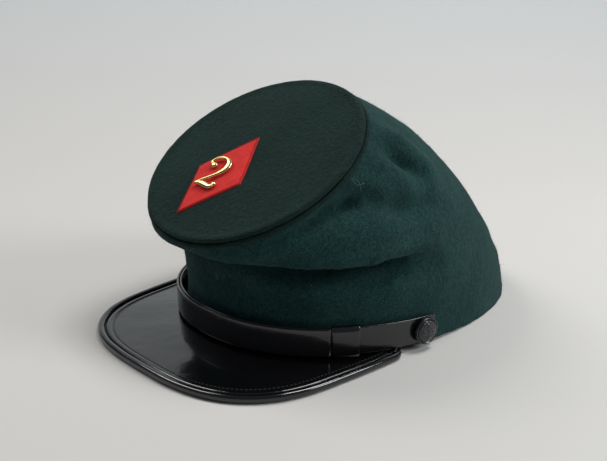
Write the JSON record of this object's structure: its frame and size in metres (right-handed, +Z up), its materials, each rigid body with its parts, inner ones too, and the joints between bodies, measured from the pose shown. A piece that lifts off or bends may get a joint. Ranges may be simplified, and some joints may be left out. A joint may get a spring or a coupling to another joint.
{
  "type": "kepi cap",
  "caption": "Soft wool forage cap with a slumped crown, flat round top, glossy leather peak, chin strap, side buttons, felt lozenge and brass numeral.",
  "frame": {"origin": "on the surface that the cap rests on, below the middle of its bounding box", "axes": "+Z up, the peak points to -Y, the wearer's left side is +X"},
  "size_m": [0.17, 0.257, 0.129],
  "materials": {
    "wool_side": "matt fulled wool with a short nap",
    "wool_top": "matt fulled wool with a short nap",
    "peak_leather": "glossy black enamelled leather",
    "strap_leather": "semi-gloss black leather",
    "button_black": "polished black hard rubber",
    "badge_felt": "bright red felt",
    "numeral_brass": "polished stamped brass"
  },
  "bodies": {
    "root": {"crown_side": "wool_side", "crown_top": "wool_top", "crown_welt": "wool_side", "peak": "peak_leather", "peak_binding": "peak_leather", "strap_inner": "strap_leather", "strap_outer": "strap_leather", "keeper_left": "strap_leather", "keeper_right": "strap_leather", "button_left": "button_black", "button_right": "button_black", "badge_patch": "badge_felt", "brass_numeral": "numeral_brass"}
  },
  "joints": []
}
